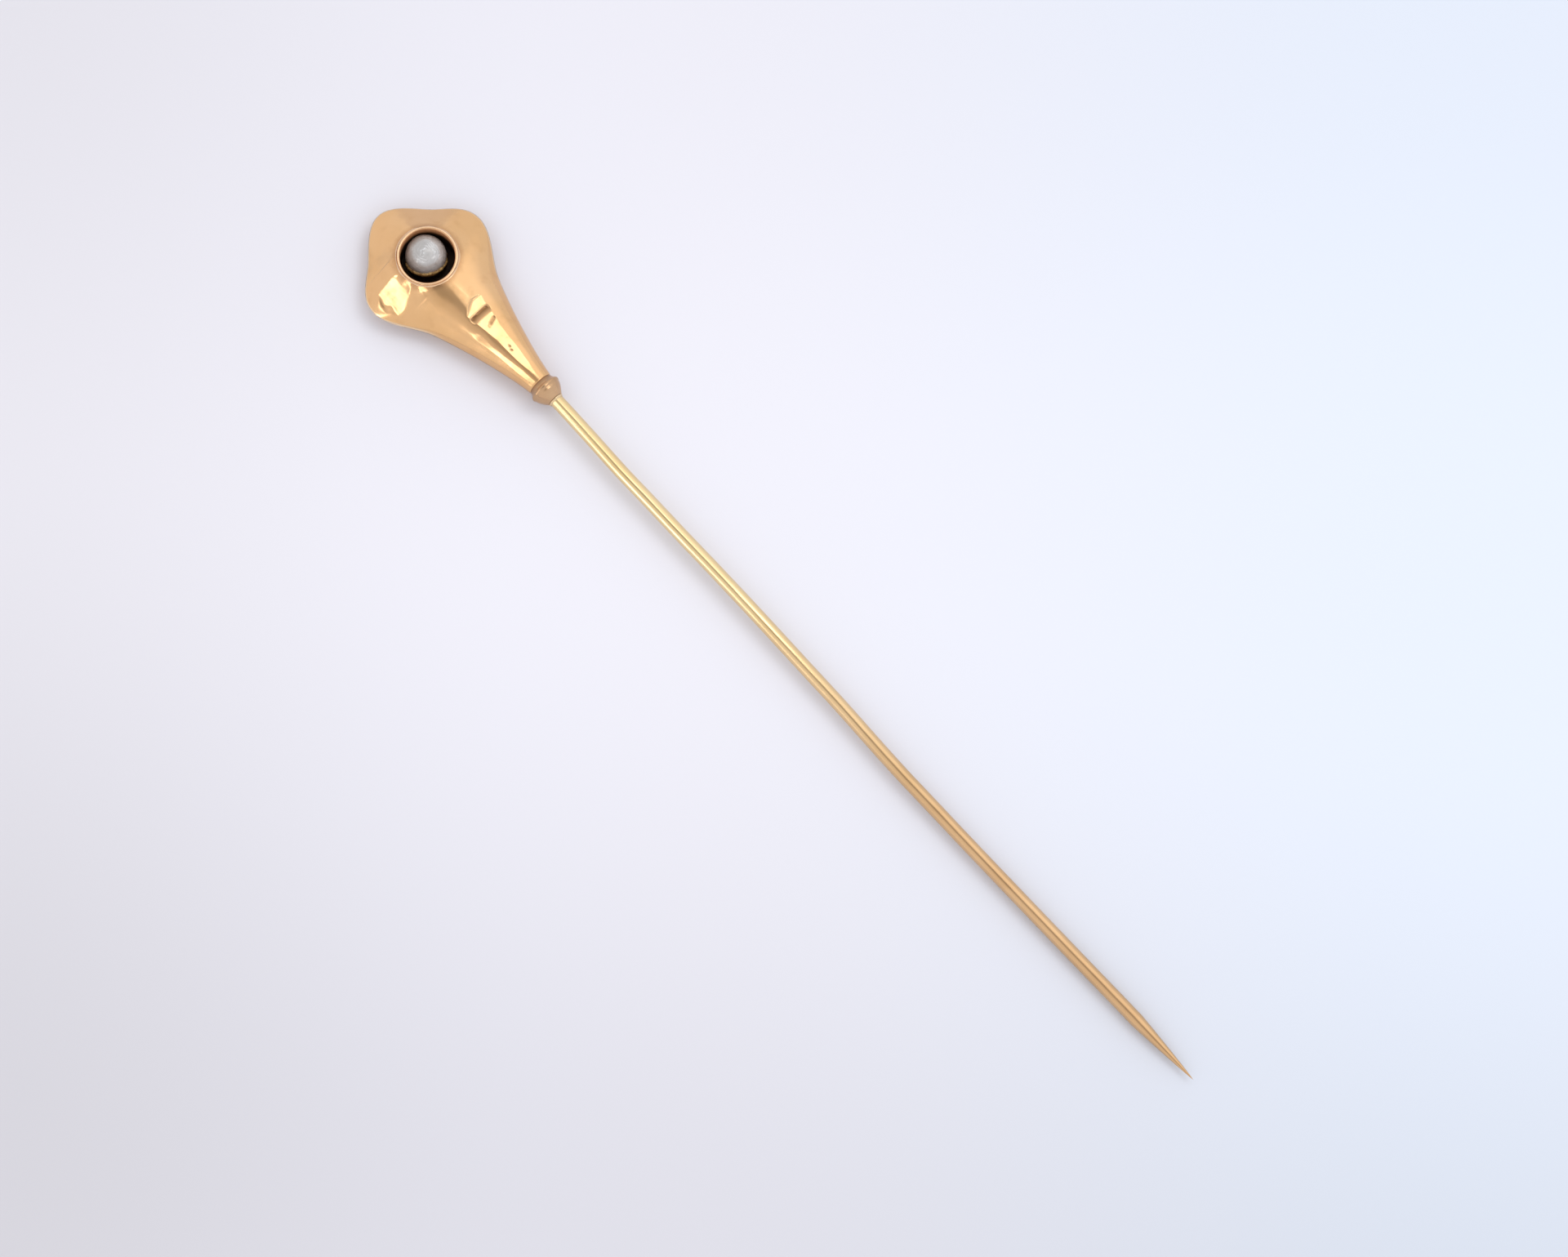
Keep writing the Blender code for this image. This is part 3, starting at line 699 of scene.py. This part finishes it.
def wire_skin(mat):
    """The wire: its slight wander, faint unevenness along its length and the filed point."""
    segments = 72
    straight = np.linspace(WIRE_KNOTS[0][0], TAPER_START, 420)
    taper = TAPER_START + (TIP_X - TAPER_START) * (1 - (1 - np.linspace(0, 1, 90)[1:-1]) ** 1.3)
    x = np.concatenate((straight, taper))
    middle = np.column_stack((x, smooth_curve(WIRE_KNOTS, x, 1), smooth_curve(WIRE_KNOTS, x, 2)))
    free = smooth_step(x, 11.4, 14.0)
    middle[:, 1] += free * 0.010 * noise_2d(x, 0 * x, 2.7, 61)
    middle[:, 2] += free * 0.005 * noise_2d(x, 0 * x, 3.1, 62)
    forward = np.gradient(middle, axis=0)
    forward /= np.linalg.norm(forward, axis=1)[:, None]
    side = np.cross(forward, (0, 0, 1))
    side /= np.linalg.norm(side, axis=1)[:, None]
    up = np.cross(side, forward)
    radius = np.full(len(x), WIRE_RADIUS - 0.004)
    tapering = x > TAPER_START
    left = np.clip((TIP_X - x[tapering]) / (TIP_X - TAPER_START), 0, 1)
    radius[tapering] *= left**TAPER_POWER
    angle = np.linspace(0, 2 * math.pi, segments, endpoint=False)
    cos, sin = np.cos(angle)[:, None], np.sin(angle)[:, None]
    rows = []
    for k in range(len(x)):
        rough = 0.003 * noise_2d(x[k] + 0 * angle, np.cos(angle) * 0.8 + 3, 0.9, 63) * radius[k] / WIRE_RADIUS
        reach_out = (radius[k] + rough)[:, None]
        rows.append(middle[k] + reach_out * (cos * side[k] + sin * up[k]))
    tip = np.array([[TIP_X, smooth_curve(WIRE_KNOTS, TIP_X, 1), smooth_curve(WIRE_KNOTS, TIP_X, 2)]])
    start = middle[:1]
    points = np.vstack([start] + rows + [tip])
    obj = mesh_object("wire_skin", points, ring_faces(len(rows) + 2, segments, True, True), 40)
    return finish_piece(obj, ["wire"], mat)


# Materials -----------------------------------------------------------------------------------------


class Nodes:
    """Short calls for building the nodes of one material, or of the world."""

    def __init__(self, owner, shader, coordinate):
        owner.use_nodes = True
        self.material = owner
        self.tree = owner.node_tree
        self.shader = self.tree.nodes[shader]
        self.place = self.add("ShaderNodeTexCoord").outputs[coordinate]

    def add(self, kind, **settings):
        node = self.tree.nodes.new(kind)
        for key, value in settings.items():
            setattr(node, key, value)
        return node

    def feed(self, socket, value):
        if isinstance(value, bpy.types.NodeSocket):
            self.tree.links.new(value, socket)
        else:
            socket.default_value = value

    def noise(self, scale_per_mm, detail=4.0, roughness=0.5, stretch=(1, 1, 1)):
        mapping = self.add("ShaderNodeMapping")
        self.feed(mapping.inputs["Vector"], self.place)
        mapping.inputs["Scale"].default_value = [s * scale_per_mm / MM for s in stretch]
        node = self.add("ShaderNodeTexNoise")
        self.feed(node.inputs["Vector"], mapping.outputs["Vector"])
        node.inputs["Scale"].default_value = 1.0
        node.inputs["Detail"].default_value = detail
        node.inputs["Roughness"].default_value = roughness
        return node.outputs["Fac"]

    def span(self, value, low, high, to_low=0.0, to_high=1.0, smooth=False):
        node = self.add("ShaderNodeMapRange")
        node.interpolation_type = "SMOOTHSTEP" if smooth else "LINEAR"
        self.feed(node.inputs["Value"], value)
        node.inputs["From Min"].default_value = low
        node.inputs["From Max"].default_value = high
        node.inputs["To Min"].default_value = to_low
        node.inputs["To Max"].default_value = to_high
        return node.outputs["Result"]

    def maths(self, operation, first, second=0.0):
        node = self.add("ShaderNodeMath", operation=operation)
        self.feed(node.inputs[0], first)
        self.feed(node.inputs[1], second)
        return node.outputs["Value"]

    def mix(self, share, first, second, blend="MIX"):
        node = self.add("ShaderNodeMix", data_type="RGBA", blend_type=blend)
        self.feed(node.inputs["Factor"], share)
        for letter, colour in (("A", first), ("B", second)):
            is_socket = isinstance(colour, bpy.types.NodeSocket)
            self.feed(node.inputs[letter], colour if is_socket else (*colour, 1.0))
        return node.outputs["Result"]

    def bump(self, height, distance_mm, strength=1.0, below=None):
        node = self.add("ShaderNodeBump")
        self.feed(node.inputs["Height"], height)
        node.inputs["Distance"].default_value = distance_mm * MM
        node.inputs["Strength"].default_value = strength
        if below is not None:
            self.feed(node.inputs["Normal"], below)
        return node.outputs["Normal"]

    def dot(self, vector, constant):
        node = self.add("ShaderNodeVectorMath", operation="DOT_PRODUCT")
        self.feed(node.inputs[0], vector)
        node.inputs[1].default_value = constant
        return node.outputs["Value"]

    def cap(self, middle, inner_degrees, outer_degrees):
        """1 in directions near the middle one, falling softly to 0 at the outer angle."""
        inner, outer = math.cos(math.radians(inner_degrees)), math.cos(math.radians(outer_degrees))
        return self.span(self.dot(self.place, middle), outer, inner, 0.0, 1.0, True)

    def grey(self, value):
        node = self.add("ShaderNodeCombineColor")
        for socket in node.inputs:
            self.feed(socket, value)
        return node.outputs["Color"]

    def axis(self, letter):
        node = self.add("ShaderNodeSeparateXYZ")
        self.feed(node.inputs["Vector"], self.place)
        return node.outputs[letter]

    def away_from(self, centre):
        """Distance in plan from an upright axis through centre, in metres."""
        flat = self.add("ShaderNodeVectorMath", operation="MULTIPLY")
        self.feed(flat.inputs[0], self.place)
        flat.inputs[1].default_value = (1, 1, 0)
        shifted = self.add("ShaderNodeVectorMath", operation="DISTANCE")
        self.feed(shifted.inputs[0], flat.outputs["Vector"])
        shifted.inputs[1].default_value = (centre[0] * MM, centre[1] * MM, 0)
        return shifted.outputs["Value"]

    def attribute(self, name):
        node = self.add("ShaderNodeAttribute", attribute_name=name)
        return node.outputs["Fac"]

    def set(self, **values):
        for key, value in values.items():
            socket = self.shader.inputs[key.replace("_", " ")]
            if isinstance(value, tuple) and len(value) == 3:
                value = (*value, 1.0)
            self.feed(socket, value)


def new_material(name):
    return Nodes(bpy.data.materials.new(name), "Principled BSDF", "Object")


def gold(name, light, deep, rough, extra=None):
    """Worn polished gold: slight colour drift, smudges, hairline scratches and tiny pits."""
    n = new_material(name)
    drift = n.span(n.noise(0.35, 3), 0.35, 0.65)
    colour = n.mix(drift, light, deep)
    smudge = n.noise(1.1, 5, 0.6)
    brown = [0.80 * light[0], 0.72 * light[1], 0.62 * light[2]]
    colour = n.mix(n.span(smudge, 0.50, 0.72, 0.0, 0.35, True), colour, brown)
    specks = n.span(n.noise(14.0, 2, 0.5), 0.70, 0.78, 0.0, 0.6)
    colour = n.mix(specks, colour, [0.5 * c for c in light])
    hairs = n.noise(9.0, 2, 0.6, (0.05, 1.0, 0.6))
    cross_hairs = n.noise(11.0, 2, 0.6, (1.0, 0.06, 0.6))
    grain = n.noise(30.0, 2, 0.5)
    base = n.span(smudge, 0.3, 0.7, rough - 0.04, rough + 0.06)
    n.set(Metallic=1.0, Roughness=base, Base_Color=colour)
    first = n.bump(hairs, 0.0012)
    second = n.bump(cross_hairs, 0.0010, 1.0, first)
    n.set(Normal=n.bump(grain, 0.0004, 1.0, second))
    if extra:
        extra(n, colour)
    return n.material


def head_gold():
    def grime_and_painted_shade(n, colour):
        dirt = n.mix(n.attribute("grime"), colour, (0.27, 0.14, 0.06))
        # Painted shade: a brown ring round the collet's foot, on the front shell only. The grime in the dents
        # is dirt.
        from_collet = n.maths("SUBTRACT", n.away_from(COLLET_CENTRE), COLLET_RADIUS * MM)
        ragged = n.maths("MULTIPLY", n.noise(1.6, 4, 0.6), 0.35 * MM)
        foot = n.span(n.maths("ADD", from_collet, ragged), 0.20 * MM, 0.62 * MM, 0.75, 0.0, True)
        on_front = n.span(n.axis("Z"), SEAM_Z * MM, (SEAM_Z + 0.3) * MM)
        shaded = n.mix(n.maths("MULTIPLY", foot, on_front), dirt, (0.50, 0.27, 0.13))
        # The turned edge in pale gold: wear together with a painted highlight.
        n.set(Base_Color=n.mix(n.span(n.attribute("wear_and_painted_highlight"), 0.0, 0.8), shaded, (0.90, 0.69, 0.45)))

    return gold("head_gold", (0.76, 0.475, 0.245), (0.73, 0.445, 0.215), 0.15, grime_and_painted_shade)


def collar_gold():
    def painted_crease_shade(n, colour):
        # Painted shade: darker brown on the flare where it meets the neck's end.
        ragged = n.maths("ADD", n.axis("X"), n.maths("MULTIPLY", n.noise(2.5, 3), 0.12 * MM))
        shade = n.span(ragged, (NECK_END + 0.08) * MM, (NECK_END + 0.34) * MM, 0.8, 0.0, True)
        n.set(Base_Color=n.mix(shade, colour, (0.34, 0.19, 0.10)))

    return gold("collar_gold", (0.60, 0.385, 0.22), (0.48, 0.295, 0.16), 0.15, painted_crease_shade)


def collet_gold():
    """Gold that is bright at the rim, with a painted coppery reflection on the well's wall and painted shade,
    near black, deeper in the well.
    """

    def painted_reflection_and_shade(n, colour):
        # Painted reflection and shade on the well's wall: coppery near the rim, near black deeper down.
        ragged = n.maths("MULTIPLY", n.noise(2.0, 4), 0.35 * MM)
        height = n.maths("ADD", n.axis("Z"), ragged)
        depth = n.span(height, (RIM_Z - 0.85) * MM, (RIM_Z - 0.30) * MM, 1.0, 0.0, True)
        wall_start, wall_end = (WELL_RADIUS + 0.03) * MM, (WELL_RADIUS + 0.06) * MM
        within = n.span(n.away_from(COLLET_CENTRE), wall_start, wall_end, 1.0, 0.0)
        share = n.maths("MULTIPLY", depth, within)
        painted_copper_reflection = n.mix(within, colour, (0.62, 0.30, 0.13))
        n.set(Base_Color=n.mix(share, painted_copper_reflection, (0.05, 0.025, 0.012)))
        n.set(Roughness=n.span(within, 0, 1, 0.18, 0.5), Metallic=n.span(within, 0, 1, 1.0, 0.45))

    return gold("collet_gold", (0.82, 0.58, 0.36), (0.78, 0.50, 0.29), 0.20, painted_reflection_and_shade)


# Painted shade: near black for the setting's floor and the peg, deep in the well.
def painted_well_shade():
    n = new_material("painted_well_shade")
    patch = n.span(n.noise(1.5, 5), 0.35, 0.7)
    n.set(Base_Color=n.mix(patch, (0.022, 0.013, 0.008), (0.075, 0.045, 0.022)))
    n.set(Metallic=0.4, Roughness=n.span(n.noise(3.0, 3), 0.3, 0.7, 0.5, 0.8))
    n.set(Normal=n.bump(n.noise(8.0, 4), 0.01))
    return n.material


def cement():
    n = new_material("old_cement")
    patch = n.span(n.noise(4.0, 5, 0.6), 0.38, 0.62)
    lit = n.mix(patch, (0.20, 0.10, 0.03), (0.62, 0.44, 0.17))
    # Painted shade: the cement is near black low down, with its lit colour only higher up.
    low = n.span(n.axis("Z"), 1.05 * MM, 1.65 * MM, 0.0, 1.0, True)
    n.set(Base_Color=n.mix(low, (0.02, 0.012, 0.006), lit))
    n.set(Roughness=n.span(n.noise(6.0, 3), 0.3, 0.7, 0.35, 0.7), Metallic=0.0)
    n.set(Normal=n.bump(n.noise(7.0, 5, 0.6), 0.03))
    return n.material


def pearl_nacre():
    """Silvery nacre with growth rings round the pearl's crown and a soft clear skin; a whitish painted
    highlight near the crown and painted shade on its upper left.
    """
    n = new_material("pearl_nacre")
    shifted = n.add("ShaderNodeMapping")
    n.feed(shifted.inputs["Vector"], n.place)
    crown = PEARL_CENTRE + np.array((0.14, -0.17, PEARL_RADII[2] - 0.03))
    shifted.inputs["Location"].default_value = [-c * MM for c in crown]
    distance = n.add("ShaderNodeVectorMath", operation="LENGTH")
    n.feed(distance.inputs[0], shifted.outputs["Vector"])
    wander = n.maths("MULTIPLY", n.noise(1.3, 4, 0.6), 0.9 * MM)
    away = n.maths("ADD", distance.outputs["Value"], wander)
    even = n.maths("SINE", n.maths("MULTIPLY", away, 2 * math.pi / (0.17 * MM)))
    sharp = n.maths("POWER", n.span(even, -1, 1), 3.0)
    patches = n.span(n.noise(1.9, 2), 0.42, 0.62)
    near_crown = n.span(away, 0.35 * MM, 1.25 * MM, 1.0, 0.25, True)
    rings = n.maths("MULTIPLY", n.maths("MULTIPLY", sharp, patches), near_crown)
    cloud = n.noise(1.3, 5, 0.6)
    # Painted highlight: a whitish patch near the crown.
    bright = n.span(away, 0.10 * MM, 0.75 * MM, 0.75, 0.0, True)
    # Painted shade: the base is greyer on the pearl's upper left as seen from the camera.
    side = n.span(n.dot(n.place, VIEW_RIGHT - 0.6 * VIEW_UP), -1.2 * MM, 0.5 * MM, 0.0, 1.0, True)
    base = n.mix(n.span(cloud, 0.35, 0.68), (0.36, 0.35, 0.34), (0.54, 0.53, 0.52))
    base = n.mix(side, n.mix(0.5, base, (0.34, 0.335, 0.32)), base)
    base = n.mix(n.maths("MULTIPLY", bright, n.span(cloud, 0.35, 0.60)), base, (0.80, 0.83, 0.86))
    ringed = n.mix(n.span(rings, 0, 1, 0.0, 0.95), base, (0.93, 0.96, 0.99))
    n.set(Base_Color=ringed, Metallic=0.0, Roughness=n.span(n.noise(5.0, 4), 0.3, 0.7, 0.20, 0.34))
    n.set(Coat_Weight=1.0, Coat_Roughness=0.16, Coat_IOR=1.7, Specular_IOR_Level=0.5)
    n.set(Sheen_Weight=0.15, Sheen_Roughness=0.3)
    soft = n.bump(n.noise(2.6, 4), 0.02)
    n.set(Normal=n.bump(rings, 0.006, 1.0, soft))
    return n.material


def wire_gold():
    """Drawn wire with fine lines along it; its colour is painted light, lighter near the head and duller and
    browner towards the point.
    """
    n = new_material("wire_gold")
    along = n.span(n.axis("X"), 20 * MM, 50 * MM, 0.0, 1.0, True)
    patch = n.span(n.noise(0.5, 4, 0.6, (0.4, 1, 1)), 0.35, 0.65)
    # Painted light: a lit colour near the head and a duller one towards the point.
    bright = n.mix(patch, (0.80, 0.62, 0.35), (0.78, 0.58, 0.30))
    dull = n.mix(patch, (0.70, 0.46, 0.25), (0.62, 0.39, 0.20))
    n.set(Base_Color=n.mix(along, bright, dull), Metallic=1.0)
    n.set(Roughness=n.span(n.noise(1.5, 4, 0.6, (0.2, 1, 1)), 0.3, 0.7, 0.14, 0.26))
    lines = n.bump(n.noise(16.0, 2, 0.6, (0.02, 1, 1)), 0.0016)
    n.set(Normal=n.bump(n.noise(2.2, 4, 0.6, (0.7, 1, 1)), 0.004, 1.0, lines))
    return n.material


# Stage, light and camera ---------------------------------------------------------------------------

# The floor's colours differ across it as painted light.
FLOOR_LEFT, FLOOR_MIDDLE, FLOOR_RIGHT = (0.765, 0.762, 0.815), (0.83, 0.835, 0.905), (0.765, 0.83, 0.935)
ROOM_LEFT, ROOM_RIGHT = (1.02, 0.995, 1.0), (0.99, 1.01, 1.07)
CEILING, SOFT_LIGHT, PHOTOGRAPHER = (0.82, 0.79, 0.77), (1.35, 1.33, 1.32), (0.50, 0.48, 0.47)
WARM, WHITE = (1.0, 0.97, 0.92), (1.0, 1.0, 1.0)
# Name, middle, the place it faces, size, radiance, colour, what it lights and turn, in mm and degrees.
PANELS = (
    ("window_left", (-10.6, -49.0, 38.9), (0.2, -2.7, 2.0), (11, 5), 3.2, WARM, "glossy", 0),
    ("window_right", (7.6, -11.6, 13.4), (7.7, -0.65, 1.9), (4.2, 1.6), 3.6, WARM, "glossy", -46),
    ("window_foot", (-6, -114, 37), (2, 0, 1), (17, 54), 3.0, WARM, "glossy", 0),
    ("lamp", (-6, 35, 130), (4, 0, 1), (15, 30), 1.8, WARM, "glossy", 0),
    ("rim_light", (-10.6, 10.0, 61.0), (0, 0, 2.8), (11, 11), 1.05, WARM, "glossy", 0),
    ("bench_light", (25.0, 8.5, 27.0), (10.6, 0, 1.9), (5, 14), 2.6, WARM, "glossy", 0),
    ("key", (80, 260, 430), (20, 0, 1), (200, 200), 2.2, WHITE, "diffuse", 0),
)
CAMERA_TARGET = Vector((30.243, 0.526, 0.0)) * MM
CAMERA_AZIMUTH, CAMERA_ELEVATION = math.radians(46.95), math.radians(76.0)
CAMERA_DISTANCE, CAMERA_LENS = 508.3 * MM, 200.0
VIEW_RIGHT = Vector((math.cos(CAMERA_AZIMUTH), math.sin(CAMERA_AZIMUTH), 0.0))
VIEW_UP = Vector((-math.sin(CAMERA_AZIMUTH), math.cos(CAMERA_AZIMUTH), 0.0))


def make_stage():
    """A wide pale sheet just under the pin, with painted light: brightest in the middle, cooler on the right,
    darker towards the bottom and a little towards the top. half and drop are in metres.
    """
    half, drop = 3.0, 0.00002
    mesh = bpy.data.meshes.new("floor")
    corners = [(-half, -half, 0), (half, -half, 0), (half, half, 0), (-half, half, 0)]
    mesh.from_pydata(corners, [], [(0, 1, 2, 3)])
    floor = bpy.data.objects.new("floor", mesh)
    bpy.context.scene.collection.objects.link(floor)
    floor.location = (0, 0, -drop)
    n = new_material("floor_paper")
    shifted = n.add("ShaderNodeVectorMath", operation="SUBTRACT")
    n.feed(shifted.inputs[0], n.place)
    shifted.inputs[1].default_value = CAMERA_TARGET
    across = n.dot(shifted.outputs["Vector"], VIEW_RIGHT)
    up = n.dot(shifted.outputs["Vector"], VIEW_UP)
    # Painted light across the floor: brighter in the middle, cooler on the right, darker towards the bottom.
    left = n.mix(n.span(across, -48 * MM, -12 * MM, 0.0, 1.0, True), FLOOR_LEFT, FLOOR_MIDDLE)
    plain = n.mix(n.span(across, -8 * MM, 42 * MM, 0.0, 1.0, True), left, FLOOR_RIGHT)
    falling = n.maths("ADD", n.maths("MULTIPLY", across, 0.20), up)
    low = n.span(falling, -42 * MM, 4 * MM, 0.83, 1.0, True)
    high = n.span(up, 8 * MM, 40 * MM, 1.0, 0.95, True)
    n.set(Base_Color=n.mix(1.0, plain, n.grey(n.maths("MULTIPLY", low, high)), "MULTIPLY"))
    n.set(Roughness=0.6, Specular_IOR_Level=0.15)
    mesh.materials.append(n.material)


def direction(azimuth, elevation):
    """A unit vector from the object towards something at this azimuth, in degrees round +Z from -Y."""
    a, e = math.radians(azimuth), math.radians(elevation)
    return Vector((math.sin(a) * math.cos(e), -math.cos(a) * math.cos(e), math.sin(e)))


def make_camera():
    data = bpy.data.cameras.new("camera")
    data.lens = CAMERA_LENS
    data.sensor_width = 36.0
    data.clip_start, data.clip_end = 0.01, 10.0
    camera = bpy.data.objects.new("camera", data)
    bpy.context.scene.collection.objects.link(camera)
    back = direction(math.degrees(CAMERA_AZIMUTH), math.degrees(CAMERA_ELEVATION))
    camera.location = CAMERA_TARGET + back * CAMERA_DISTANCE
    camera.rotation_mode = "QUATERNION"
    camera.rotation_quaternion = (-back).to_track_quat("-Z", "Y")
    bpy.context.scene.camera = camera


def panel(name, middle, towards, size, radiance, colour, lights, turn):
    """A flat light panel, in millimetres, that is seen only in reflections or only lights matt surfaces.

    It can be turned in its own plane by an angle in degrees.
    """
    data = bpy.data.lights.new(name, "AREA")
    data.shape = "RECTANGLE"
    data.size, data.size_y = size[0] * MM, size[1] * MM
    data.energy = radiance * math.pi * data.size * data.size_y
    data.color = colour
    light = bpy.data.objects.new(name, data)
    bpy.context.scene.collection.objects.link(light)
    back = (Vector(middle) - Vector(towards)).normalized()
    side = (Vector((1, 0, 0)) - back * back.x).normalized()
    facing = Matrix((side, back.cross(side), back)).transposed().to_4x4()
    roll = Matrix.Rotation(math.radians(turn), 4, "Z")
    light.matrix_world = Matrix.Translation(Vector(middle) * MM) @ facing @ roll
    light.visible_camera = False
    light.visible_diffuse = lights == "diffuse"
    light.visible_glossy = lights == "glossy"


def make_light():
    """A pale room, darker overhead, with a broad soft light beyond the pin and the light panels."""
    world = bpy.data.worlds.new("pale_room")
    bpy.context.scene.world = world
    n = Nodes(world, "Background", "Generated")
    rightward = n.span(n.dot(n.place, VIEW_RIGHT), -0.8, 0.9)
    room = n.mix(rightward, ROOM_LEFT, ROOM_RIGHT)
    room = n.mix(n.cap(direction(46.95, 80), 14, 36), room, CEILING)
    room = n.mix(n.cap(direction(176, 55), 12, 36), room, SOFT_LIGHT)
    room = n.mix(n.cap(direction(302, 78), 5, 14), room, PHOTOGRAPHER)
    room = n.mix(n.cap(direction(46.95, 76), 7, 15), room, PHOTOGRAPHER)
    n.feed(n.shader.inputs["Color"], room)
    n.shader.inputs["Strength"].default_value = 1.0
    for values in PANELS:
        panel(*values)


def set_view():
    view = bpy.context.scene.view_settings
    view.view_transform = "Standard"
    view.look = "None"
    view.exposure = 0.0


# Assembly ------------------------------------------------------------------------------------------


def main():
    make_camera()
    head = head_gold()
    collet_hole, vent = (COLLET_CENTRE, COLLET_RADIUS + 0.02), ((VENT_X, 0.0), VENT_RADIUS)
    shell_object("front_shell_skin", front_surface, True, collet_hole, ["front_shell"], head)
    shell_object("back_shell_skin", back_surface, False, vent, ["back_shell"], head)
    collet_skin(collet_gold())
    pearl_skin(pearl_nacre())
    cement_skin(cement())
    collar_skin(collar_gold())
    solder_skin(gold("solder", (0.80, 0.60, 0.36), (0.76, 0.54, 0.30), 0.14))
    wire_skin(wire_gold())
    dark = painted_well_shade()
    for node in ("setting_floor", "pearl_peg"):
        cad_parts[node].data.materials.clear()
        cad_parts[node].data.materials.append(dark)
    make_stage()
    make_light()
    set_view()


main()
